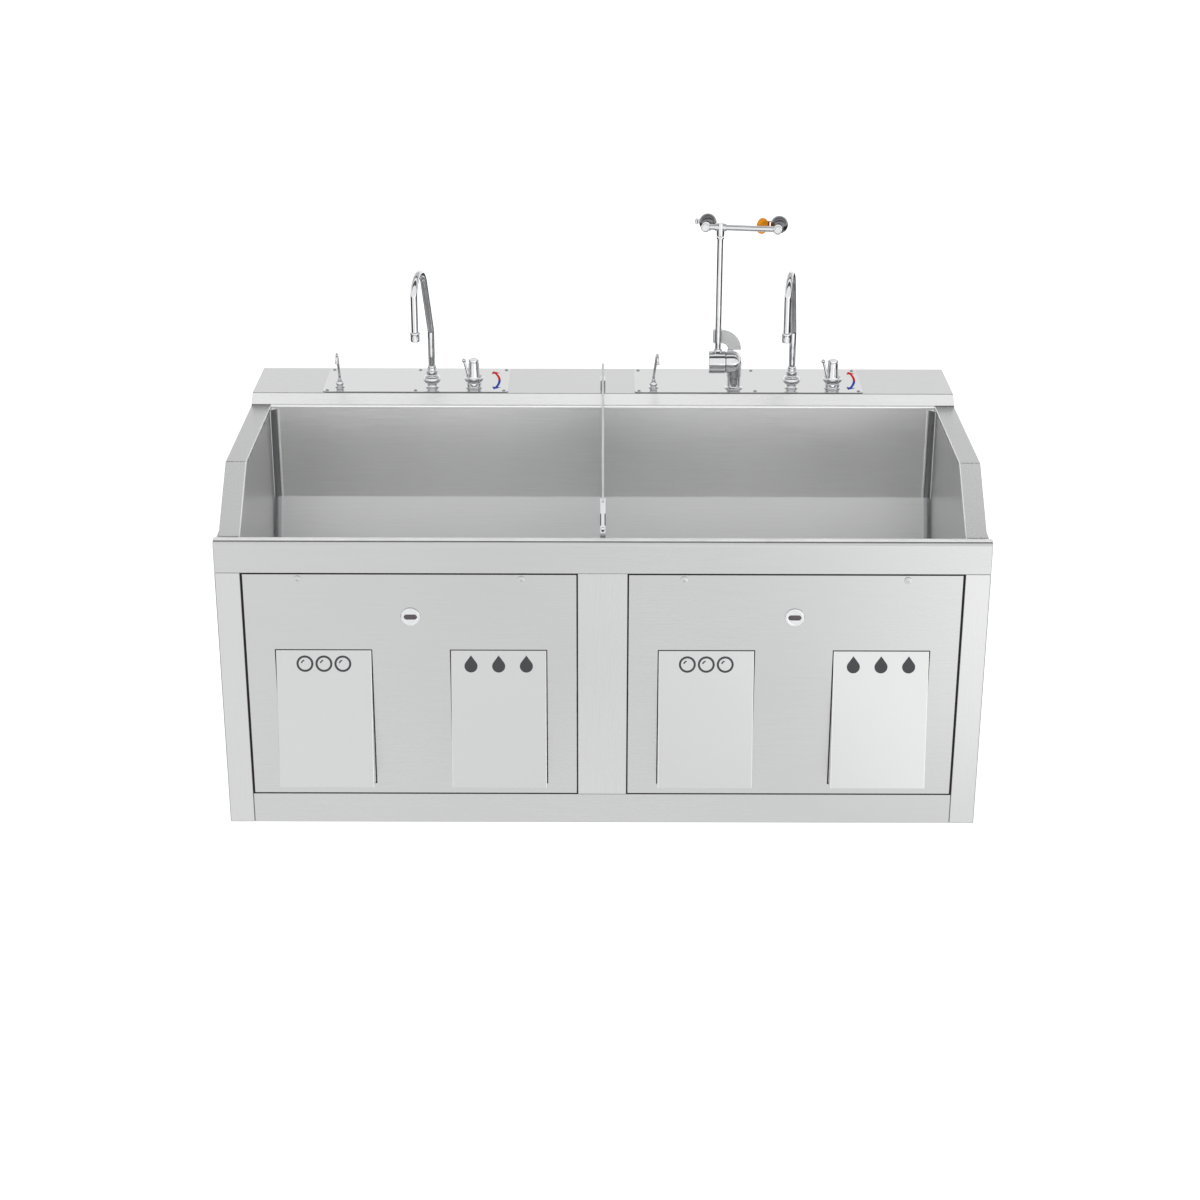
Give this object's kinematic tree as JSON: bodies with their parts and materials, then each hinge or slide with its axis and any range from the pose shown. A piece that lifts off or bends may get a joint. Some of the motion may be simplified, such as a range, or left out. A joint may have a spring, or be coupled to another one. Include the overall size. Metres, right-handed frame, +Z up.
{
  "type": "surgical scrub sink",
  "caption": "Wall-hung two-station stainless scrub sink with knee-operated water and soap, swivel gooseneck faucets, a clear divider and a swing-down eyewash.",
  "frame": {"origin": "centre of the four wall bolts, in the plane of the wall", "axes": "+X to the user's right along the length, +Y into the wall, +Z up"},
  "size_m": [1.575, 0.8771, 1.1486],
  "materials": {
    "satin": "satin",
    "dark_steel": "mill",
    "chrome": "polished",
    "copper": "drawn tube",
    "brass": "cast",
    "lens": "smooth",
    "housing": "moulded",
    "pane": "clear",
    "bottle": "blow moulded",
    "line": "smooth",
    "orange": "moulded"
  },
  "bodies": {
    "cabinet": {"back_panel": "dark_steel", "left_end_panel": "satin", "right_end_panel": "satin", "basin": "satin", "deck": "satin", "left_side_shield": "satin", "right_side_shield": "satin", "front_apron": "satin", "left_stile": "satin", "right_stile": "satin", "centre_stile": "satin", "bottom_rail": "satin", "left_deck_plate": "satin", "right_deck_plate": "satin", "deck_screws": "chrome", "left_access_panel": "satin", "right_access_panel": "satin", "panel_screws": "chrome", "sensor_bezels": "chrome", "sensor_lenses": "lens", "sensor_housings": "housing", "divider_pane": "pane", "divider_clips": "chrome", "drain_strainer": "chrome", "drain_trap": "chrome", "hot_supply_pipe": "copper", "cold_supply_pipe": "copper", "mixing_valves": "chrome", "faucet_bases": "chrome", "soap_bases": "chrome", "soap_bottles": "bottle", "eyewash_column": "chrome", "eyewash_rest": "satin", "hinge_pins": "dark_steel", "water_valves": "brass", "soap_pumps": "housing", "valve_rail": "dark_steel", "water_lines": "line", "soap_lines": "line"},
    "left_soap_knee": {"left_soap_panel": "satin"},
    "left_water_knee": {"left_water_panel": "satin"},
    "right_soap_knee": {"right_soap_panel": "satin"},
    "right_water_knee": {"right_water_panel": "satin"},
    "left_soap_stem": {"left_soap_plunger": "chrome"},
    "left_water_stem": {"left_water_plunger": "chrome"},
    "right_soap_stem": {"right_soap_plunger": "chrome"},
    "right_water_stem": {"right_water_plunger": "chrome"},
    "left_neck": {"left_gooseneck": "chrome", "left_aerator": "chrome"},
    "right_neck": {"right_gooseneck": "chrome", "right_aerator": "chrome"},
    "left_knob": {"left_temperature_knob": "chrome"},
    "right_knob": {"right_temperature_knob": "chrome"},
    "left_spout": {"left_soap_spout": "chrome"},
    "right_spout": {"right_soap_spout": "chrome"},
    "eyewash": {"eyewash_sleeve": "chrome", "eyewash_arm": "chrome", "eyewash_heads": "chrome"},
    "left_cap": {"left_dust_cap": "orange"},
    "right_cap": {"right_dust_cap": "orange"}
  },
  "joints": [
    {"name": "left_soap_hinge", "type": "hinge", "parent": "cabinet", "child": "left_soap_knee", "pos_m": [-0.5735, -0.78, -0.008], "axis": [1, 0, 0], "range_deg": [0, 8], "stiffness_Nm_per_rad": 12, "springref_deg": -11.46},
    {"name": "left_water_hinge", "type": "hinge", "parent": "cabinet", "child": "left_water_knee", "pos_m": [-0.2137, -0.78, -0.008], "axis": [1, 0, 0], "range_deg": [0, 8], "stiffness_Nm_per_rad": 12, "springref_deg": -11.46},
    {"name": "right_soap_hinge", "type": "hinge", "parent": "cabinet", "child": "right_soap_knee", "pos_m": [0.2137, -0.78, -0.008], "axis": [1, 0, 0], "range_deg": [0, 8], "stiffness_Nm_per_rad": 12, "springref_deg": -11.46},
    {"name": "right_water_hinge", "type": "hinge", "parent": "cabinet", "child": "right_water_knee", "pos_m": [0.5735, -0.78, -0.008], "axis": [1, 0, 0], "range_deg": [0, 8], "stiffness_Nm_per_rad": 12, "springref_deg": -11.46},
    {"name": "left_soap_stem_slide", "type": "slide", "parent": "cabinet", "child": "left_soap_stem", "axis": [0, 1, 0], "range_m": [0, 0.0202]},
    {"name": "left_water_stem_slide", "type": "slide", "parent": "cabinet", "child": "left_water_stem", "axis": [0, 1, 0], "range_m": [0, 0.0202]},
    {"name": "right_soap_stem_slide", "type": "slide", "parent": "cabinet", "child": "right_soap_stem", "axis": [0, 1, 0], "range_m": [0, 0.0202]},
    {"name": "right_water_stem_slide", "type": "slide", "parent": "cabinet", "child": "right_water_stem", "axis": [0, 1, 0], "range_m": [0, 0.0202]},
    {"name": "left_gooseneck_swivel", "type": "hinge", "parent": "cabinet", "child": "left_neck", "pos_m": [-0.384, -0.15, 0.3636], "axis": [0, 0, 1], "range_deg": [-60, 60]},
    {"name": "left_knob_turn", "type": "hinge", "parent": "cabinet", "child": "left_knob", "pos_m": [-0.29, -0.15, 0.3636], "axis": [0, 0, 1], "range_deg": [-60, 60]},
    {"name": "left_soap_swivel", "type": "hinge", "parent": "cabinet", "child": "left_spout", "pos_m": [-0.592, -0.15, 0.3636], "axis": [0, 0, 1], "range_deg": [-45, 45]},
    {"name": "right_gooseneck_swivel", "type": "hinge", "parent": "cabinet", "child": "right_neck", "pos_m": [0.424, -0.15, 0.3636], "axis": [0, 0, 1], "range_deg": [-60, 60]},
    {"name": "right_knob_turn", "type": "hinge", "parent": "cabinet", "child": "right_knob", "pos_m": [0.516, -0.15, 0.3636], "axis": [0, 0, 1], "range_deg": [-60, 60]},
    {"name": "right_soap_swivel", "type": "hinge", "parent": "cabinet", "child": "right_spout", "pos_m": [0.114, -0.15, 0.3636], "axis": [0, 0, 1], "range_deg": [-45, 45]},
    {"name": "eyewash_swing", "type": "hinge", "parent": "cabinet", "child": "eyewash", "pos_m": [0.257, -0.15, 0.4236], "axis": [1, 0, 0], "range_deg": [0, 90]},
    {"name": "left_cap_hinge", "type": "hinge", "parent": "eyewash", "child": "left_cap", "pos_m": [0.20702, -0.09248, 0.7296], "axis": [0, 0, 1], "range_deg": [0, 225]},
    {"name": "right_cap_hinge", "type": "hinge", "parent": "eyewash", "child": "right_cap", "pos_m": [0.36348, -0.11447, 0.7296], "axis": [0, 0, 1], "range_deg": [-236, 0]}
  ],
  "couplings": [
    {"joint": "left_soap_stem_slide", "follows": "left_soap_hinge", "m_per_rad": 0.14343},
    {"joint": "left_water_stem_slide", "follows": "left_water_hinge", "m_per_rad": 0.14343},
    {"joint": "right_soap_stem_slide", "follows": "right_soap_hinge", "m_per_rad": 0.14343},
    {"joint": "right_water_stem_slide", "follows": "right_water_hinge", "m_per_rad": 0.14343}
  ]
}
